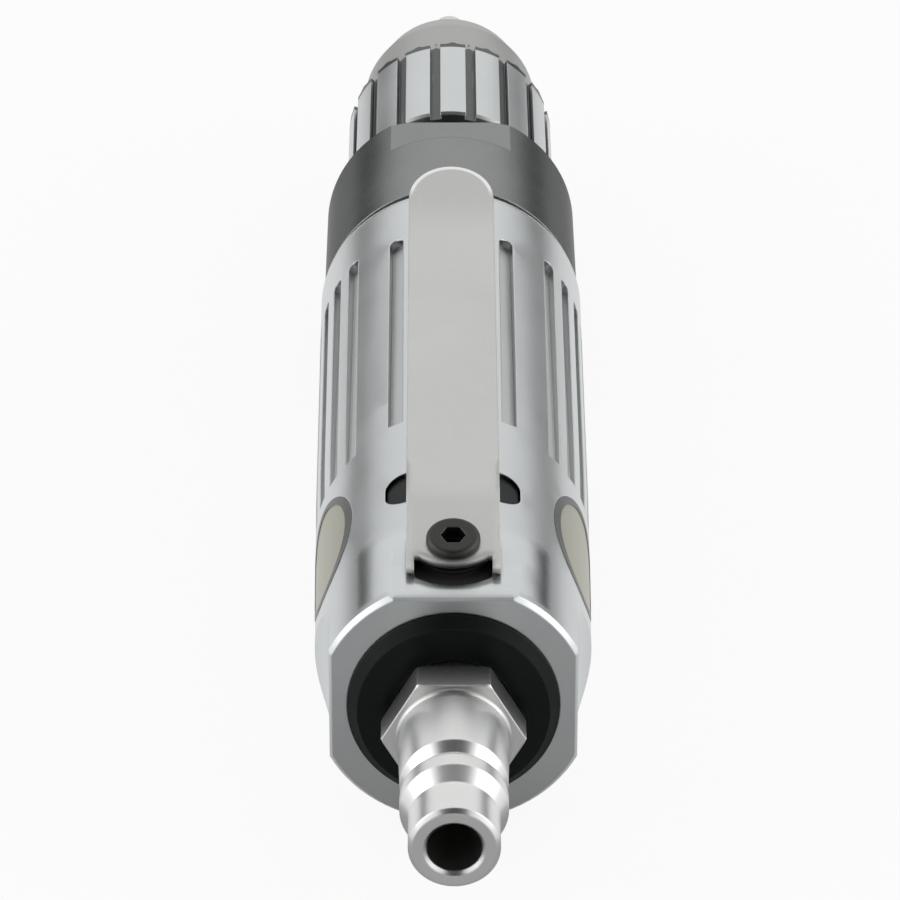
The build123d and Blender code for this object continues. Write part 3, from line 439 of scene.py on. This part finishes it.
def tail_share(tree):
    """1 on the top of the housing round the lever's tail."""
    place = place_parts(tree)
    rear = fade(tree, place["Y"], tail_start, tail_start + 1.0 * MM)
    front = fade(tree, place["Y"], tail_end, tail_end - 3.0 * MM)
    above = fade(tree, place["Z"], tail_floor - 1.0 * MM, tail_floor)
    return maths(tree, "MULTIPLY", maths(tree, "MULTIPLY", rear, front), above)


def housing_rounding(tree):
    """Radius of the housing's edges: wide round the lever's tail and at the front end, small elsewhere."""
    front_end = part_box("housing")[1].y
    front = fade(tree, place_parts(tree)["Y"], front_end - 3.5 * MM, front_end - 3.0 * MM)
    return times_plus(tree, front, 1.4 * MM, times_plus(tree, tail_share(tree), 1.6 * MM, 0.25 * MM))


def lever_colour(tree, clouds):
    """Brushed strip, a little darker towards its free end, with a painted highlight along the rim round that
    end.
    """
    place = place_parts(tree)
    free_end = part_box("lever")[1]
    ahead = maths(tree, "SUBTRACT", place["Y"], free_end.y - lever_tip_length)
    ahead_share = maths(tree, "DIVIDE", maths(tree, "MAXIMUM", ahead, 0.0), lever_tip_length)
    across_share = maths(tree, "DIVIDE", place["X"], free_end.x)
    reach = maths(tree, "ADD", maths(tree, "POWER", ahead_share, 2.0), maths(tree, "POWER", across_share, 2.0))
    rounded = fade(tree, ahead, 0.0, 3.0 * MM)
    rim = maths(tree, "MULTIPLY", fade(tree, maths(tree, "SQRT", reach), 0.89, 0.94), rounded)
    tip = fade(tree, ahead, -10.0 * MM, 2.0 * MM)
    strip = mix(tree, clouds, (0.506, 0.511, 0.492, 1.0), (0.583, 0.588, 0.567, 1.0))
    # Painted highlight: the pale colour along the rim of the free end stands in for the light caught there
    end = mix(tree, rim, (0.475, 0.48, 0.465, 1.0), (0.80, 0.805, 0.79, 1.0))
    return mix(tree, tip, strip, end)


def lever_rounding(tree):
    """Radius of the lever's edges: wide on its folded tail, small elsewhere and crisp round its free end."""
    along = place_parts(tree)["Y"]
    free_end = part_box("lever")[1].y
    tip = fade(tree, along, free_end - 9.0 * MM, free_end - 5.0 * MM)
    tail = fade(tree, along, fold_end + 2.0 * MM, fold_end)
    return times_plus(tree, tip, -0.4 * MM, times_plus(tree, tail, 1.0 * MM, 0.45 * MM))


def make_badge_finish():
    """Printed plate: dark border and a bare field of warm grey."""
    material, tree, shader = start_material("badge_print")
    place = place_parts(tree)
    outward = maths(tree, "MULTIPLY", maths(tree, "ABSOLUTE", place["X"]), math.cos(badge_angle))
    up = times_plus(tree, place["Z"], -math.sin(badge_angle), outward)
    along = maths(tree, "SUBTRACT", place["Y"], badge_centre)
    across_share = maths(tree, "POWER", maths(tree, "DIVIDE", up, badge_field_half_height), 2.0)
    along_share = maths(tree, "POWER", maths(tree, "DIVIDE", along, badge_field_half_length), 2.0)
    reach = maths(tree, "SQRT", maths(tree, "ADD", across_share, along_share))
    clouds = use_group(tree, mottle, Size=4.0)["Spots"]
    edges = use_group(tree, edge_wear, Radius=0.12 * MM)
    field = mix(tree, clouds, (0.30, 0.292, 0.228, 1.0), (0.38, 0.372, 0.294, 1.0))
    border = mix(tree, clouds, (0.055, 0.058, 0.056, 1.0), (0.085, 0.088, 0.085, 1.0))
    base = mix(tree, fade(tree, reach, 0.985, 1.0), field, border)
    base = mix(tree, edges["Wear"], base, (0.4, 0.4, 0.38, 1.0))
    tree.links.new(base, shader.inputs["Base Color"])
    tree.links.new(times_plus(tree, clouds, 0.12, 0.28), shader.inputs["Roughness"])
    shader.inputs["Metallic"].default_value = 0.35
    grains = use_group(tree, mottle, Size=0.2)["Spots"]
    finish_relief(tree, shader, grains, 0.002 * MM, edges["Rounded"])
    return material


def turned(fineness):
    return turning_marks, {"Fineness": fineness}


def brushed(fineness, length):
    return brush_streaks, {"Fineness": fineness, "Length": length}


housing_alloy = metal("satin_aluminium", housing_colour, (0.78, 0.785, 0.79), 0.27, turned(5.0), 0.0012 * MM,
                      dirt_and_shade_amount=0.15, rounding=housing_rounding, extra_roughness=housing_roughness)
lever_steel = metal("satin_steel", lever_colour, (0.80, 0.80, 0.79), 0.33, brushed(6.0, 14.0), 0.0012 * MM,
                    edge=0.45 * MM, scratch=0.04, rounding=lever_rounding)
plug_steel = metal("bright_nickel", (0.75, 0.755, 0.745), (0.86, 0.86, 0.85), 0.27, turned(8.0), 0.001 * MM,
                   spread=0.06, edge=0.3 * MM)
collar_steel = metal("dark_steel", (0.36, 0.37, 0.367), (0.50, 0.51, 0.505), 0.24, turned(7.0), 0.001 * MM,
                     rim=0.25)
sleeve_steel = metal("ribbed_steel", sleeve_colour, (0.50, 0.51, 0.51), 0.30, turned(5.0), 0.001 * MM,
                     edge=0.12 * MM, extra_roughness=cone_roughness)
chuck_steel = metal("ground_steel", (0.52, 0.525, 0.53), (0.75, 0.75, 0.76), 0.30, turned(8.0), 0.001 * MM)
jaw_steel = metal("hard_steel", (0.66, 0.66, 0.655), (0.80, 0.80, 0.80), 0.40, brushed(6.0, 6.0), 0.001 * MM)
black_steel = metal("blackened_steel", (0.065, 0.065, 0.063), (0.18, 0.18, 0.175), 0.42, turned(6.0),
                    0.001 * MM)
bearing_steel = metal("polished_steel", (0.70, 0.70, 0.72), (0.8, 0.8, 0.82), 0.10, turned(9.0), 0.0005 * MM)
iron = metal("machined_iron", (0.28, 0.28, 0.29), (0.5, 0.5, 0.5), 0.38, turned(5.0), 0.002 * MM)
brass = metal("turned_brass", (0.70, 0.53, 0.25), (0.85, 0.70, 0.40), 0.26, turned(6.0), 0.001 * MM)
black_plastic = moulded("black_plastic", (0.0045, 0.0062, 0.0066), (0.045, 0.052, 0.053), 0.40, 0.18,
                        0.006 * MM, shine=0.15)
rubber = moulded("black_rubber", (0.010, 0.010, 0.010), (0.03, 0.03, 0.03), 0.62, 0.25, 0.01 * MM)
vane_resin = moulded("vane_resin", (0.24, 0.13, 0.06), (0.36, 0.22, 0.12), 0.5, 0.3, 0.006 * MM)
felt = moulded("pressed_felt", (0.30, 0.28, 0.24), (0.38, 0.36, 0.32), 0.92, 0.35, 0.08 * MM)
badge_print = make_badge_finish()

finish_of_slot = {
    "housing_alloy": housing_alloy,
    "lever_steel": lever_steel,
    "plug_steel": plug_steel,
    "collar_steel": collar_steel,
    "chuck_steel": chuck_steel,
    "jaw_steel": jaw_steel,
    "black_plastic": black_plastic,
    "black_steel": black_steel,
    "badge": badge_print,
    "rubber": rubber,
    "felt": felt,
    "brass": brass,
    "bearing_steel": bearing_steel,
    "iron": iron,
    "vane_resin": vane_resin,
}
slot_of_node = {part["node"]: part["material_slot"] for part in frame["record"]["subparts"]}


def give_finish(piece, finish):
    piece.data.materials.clear()
    piece.data.materials.append(finish)


for name, node in nodes.items():
    give_finish(node, finish_of_slot[slot_of_node[name]])
give_finish(nodes["chuck_sleeve"], sleeve_steel)


# Stage

def place_object(name, data):
    thing = bpy.data.objects.new(name, data)
    bpy.context.scene.collection.objects.link(thing)
    return thing


def seen_share(tree):
    """1 on rays that end at the camera straight, by a mirror or through glass, 0 on rays that only light."""
    path = add_node(tree, "ShaderNodeLightPath")
    share = maths(tree, "MAXIMUM", path.outputs["Is Camera Ray"], path.outputs["Is Glossy Ray"])
    return maths(tree, "MAXIMUM", share, path.outputs["Is Transmission Ray"])


def make_floor():
    mesh = bmesh.new()
    bmesh.ops.create_grid(mesh, x_segments=1, y_segments=1, size=floor_half_width)
    bmesh.ops.translate(mesh, verts=mesh.verts, vec=(0, 0, cad_box[0].z))
    data = bpy.data.meshes.new("floor")
    mesh.to_mesh(data)
    mesh.free()
    floor = place_object("floor", data)
    material, tree, shader = start_material("pale_floor")
    shader.inputs["Base Color"].default_value = (0.93, 0.93, 0.93, 1.0)
    shader.inputs["Roughness"].default_value = 0.9
    shader.inputs["Specular IOR Level"].default_value = 0.1
    white = add_node(tree, "ShaderNodeEmission")
    blend = add_node(tree, "ShaderNodeMixShader")
    tree.links.new(maths(tree, "MULTIPLY", seen_share(tree), floor_seen_share), blend.inputs[0])
    tree.links.new(shader.outputs[0], blend.inputs[1])
    tree.links.new(white.outputs[0], blend.inputs[2])
    tree.links.new(blend.outputs[0], tree.nodes["Material Output"].inputs["Surface"])
    give_finish(floor, material)


def add_card(name, mesh, shade):
    """Sheet by the set that only shiny surfaces see: dark cloth, or painted shade of the floor. It lights and
    shades nothing and isn't in the picture.
    """
    data = bpy.data.meshes.new(name)
    mesh.to_mesh(data)
    mesh.free()
    card = place_object(name, data)
    material, tree, shader = start_material(name + "_cloth")
    shader.inputs["Base Color"].default_value = (shade, shade, shade, 1.0)
    shader.inputs["Roughness"].default_value = 1.0
    shader.inputs["Specular IOR Level"].default_value = 0.0
    give_finish(card, material)
    card.visible_camera = False
    card.visible_diffuse = False
    card.visible_shadow = False


def make_dark_surround():
    """Low dark walls ahead of the drill on both sides, open in the middle."""
    mesh = bmesh.new()
    bmesh.ops.create_circle(mesh, segments=72, radius=wall_radius)
    inner, outer = wall_radius * math.cos(wall_start), wall_radius * math.cos(wall_end)
    unused = [vert for vert in mesh.verts if vert.co.y > inner or vert.co.y < outer]
    bmesh.ops.delete(mesh, geom=unused, context="VERTS")
    bmesh.ops.translate(mesh, verts=mesh.verts, vec=(0, wall_middle, cad_box[0].z + wall_lift))
    wall = bmesh.ops.extrude_edge_only(mesh, edges=mesh.edges[:])
    top = [piece for piece in wall["geom"] if isinstance(piece, bmesh.types.BMVert)]
    bmesh.ops.translate(mesh, verts=top, vec=(0, 0, wall_height))
    add_card("dark_surround", mesh, dark_shade)


def make_floor_shade_sheet(name, half_width, rear, front, shade):
    """Painted shade of the floor under the drill, from rear to front along it, seen only in the metal's
    reflections.
    """
    mesh = bmesh.new()
    bmesh.ops.create_grid(mesh, x_segments=1, y_segments=1, size=1.0)
    bmesh.ops.scale(mesh, verts=mesh.verts, vec=(half_width, (front - rear) / 2, 1.0))
    bmesh.ops.translate(mesh, verts=mesh.verts, vec=(0, (front + rear) / 2, cad_box[0].z + shade_sheet_lift))
    add_card(name, mesh, shade)


def make_dark_canopy():
    """Dark cloth over the plug and the camera, and hanging down behind them."""
    mesh = bmesh.new()
    bmesh.ops.create_grid(mesh, x_segments=1, y_segments=1, size=0.5)
    bmesh.ops.scale(mesh, verts=mesh.verts, vec=(canopy_width, canopy_length, 1.0))
    bmesh.ops.translate(mesh, verts=mesh.verts, vec=(0, canopy_middle, canopy_height))
    rear = [edge for edge in mesh.edges if all(vert.co.y < canopy_middle for vert in edge.verts)]
    hung = bmesh.ops.extrude_edge_only(mesh, edges=rear)
    foot = [piece for piece in hung["geom"] if isinstance(piece, bmesh.types.BMVert)]
    bmesh.ops.translate(mesh, verts=foot, vec=(0, 0, -canopy_drop))
    add_card("dark_canopy", mesh, dark_shade)


def add_softbox(name, side):
    """Square lamp on the left (side -1) or the right (side 1) of the drill, turned towards it."""
    lamp = bpy.data.lights.new(name, "AREA")
    lamp.shape = "RECTANGLE"
    lamp.size = softbox_width
    lamp.size_y = softbox_width
    lamp.energy = softbox_power
    softbox = place_object(name, lamp)
    softbox.location = (side * softbox_distance, softbox_ahead, softbox_height)
    softbox.rotation_euler = (softbox_target - softbox.location).to_track_quat("-Z", "Y").to_euler()
    softbox.visible_camera = False


def make_world():
    world = bpy.data.worlds.new("studio")
    bpy.context.scene.world = world
    world.use_nodes = True
    tree = world.node_tree
    light = tree.nodes["Background"]
    light.inputs["Color"].default_value = (1.0, 1.0, 1.0, 1.0)
    light.inputs["Strength"].default_value = surround_strength
    white = add_node(tree, "ShaderNodeBackground")
    white.inputs["Color"].default_value = (1.0, 1.0, 1.0, 1.0)
    blend = add_node(tree, "ShaderNodeMixShader")
    tree.links.new(seen_share(tree), blend.inputs[0])
    tree.links.new(light.outputs[0], blend.inputs[1])
    tree.links.new(white.outputs[0], blend.inputs[2])
    tree.links.new(blend.outputs[0], tree.nodes["World Output"].inputs["Surface"])


def make_camera():
    data = bpy.data.cameras.new("camera")
    data.sensor_width = camera_sensor
    data.lens = camera_lens
    data.clip_start = 0.01
    camera = place_object("camera", data)
    level = math.cos(camera_pitch)
    forward = Vector((math.sin(camera_yaw) * level, math.cos(camera_yaw) * level, -math.sin(camera_pitch)))
    camera.location = camera_place
    camera.rotation_euler = forward.to_track_quat("-Z", "Y").to_euler()
    bpy.context.scene.camera = camera


make_floor()
# Painted shade: sheets that darken the floor round the drill where the metal reflects it
make_floor_shade_sheet("rear_floor_shade", 0.06, -0.4, 0.03, 0.55)
make_floor_shade_sheet("front_floor_shade", 0.021, 0.03, 0.6, 1.0)
make_dark_surround()
make_dark_canopy()
add_softbox("left_softbox", -1)
add_softbox("right_softbox", 1)
make_world()
make_camera()
bpy.context.scene.view_settings.view_transform = "Standard"
